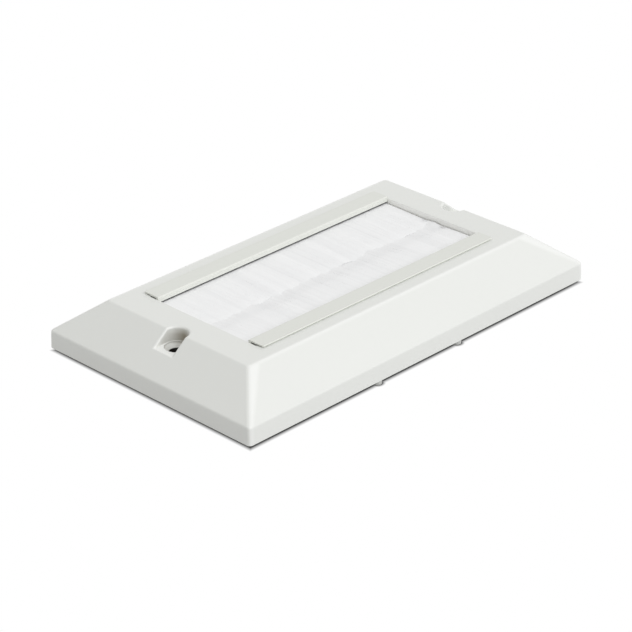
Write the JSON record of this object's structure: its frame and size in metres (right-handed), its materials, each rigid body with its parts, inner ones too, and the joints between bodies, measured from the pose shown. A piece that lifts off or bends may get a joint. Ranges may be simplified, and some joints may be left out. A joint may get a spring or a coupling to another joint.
{
  "type": "brush wall plate",
  "caption": "Bevelled oblong wall plate with a cable window closed by two facing banks of white bristles in edge strips, and a countersunk screw pocket at each short end.",
  "frame": {"origin": "under the middle of the plate, on the plane of the tips of the four pegs behind its back edge, which is the plane it lies on", "axes": "+Z out of the wall through the front face, +Y along the plate's length through both screw holes, +X across it"},
  "size_m": [0.07, 0.117, 0.0157],
  "materials": {
    "plate_plastic": "satin white moulding",
    "holder_plastic": "satin extrusion, a little greyer than the plate",
    "backing_steel": "galvanised sheet",
    "wire_steel": "drawn wire",
    "filament": "fine white filaments"
  },
  "bodies": {
    "root": {"faceplate": "plate_plastic", "holder_left": "holder_plastic", "holder_right": "holder_plastic", "backing_left": "backing_steel", "backing_right": "backing_steel", "wire_left": "wire_steel", "wire_right": "wire_steel", "bristles_left": "filament", "bristles_right": "filament"}
  },
  "joints": []
}
